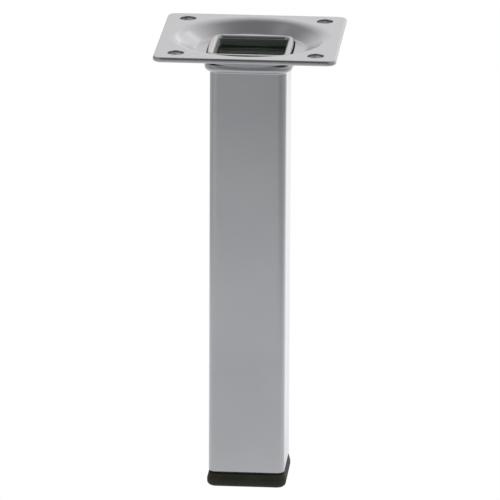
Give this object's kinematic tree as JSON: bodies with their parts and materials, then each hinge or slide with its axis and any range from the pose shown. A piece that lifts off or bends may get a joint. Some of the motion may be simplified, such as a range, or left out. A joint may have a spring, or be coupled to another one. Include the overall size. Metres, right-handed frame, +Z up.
{
  "type": "square metal table leg",
  "caption": "Square tube furniture leg with a dished mounting plate swaged onto its top end, corner screw holes and a black plastic foot plug.",
  "frame": {"origin": "middle of the sole of the foot plug, on the floor", "axes": "+Z up the leg to the mounting plate, +X and +Y square to the sides of the tube and the plate"},
  "size_m": [0.059, 0.059, 0.15],
  "materials": {
    "silver_coated_steel": "satin silver-grey powder coat",
    "black_plastic": "matt moulded"
  },
  "bodies": {
    "root": {"mounting_plate": "silver_coated_steel", "leg_tube": "silver_coated_steel", "foot_plug": "black_plastic"}
  },
  "joints": []
}
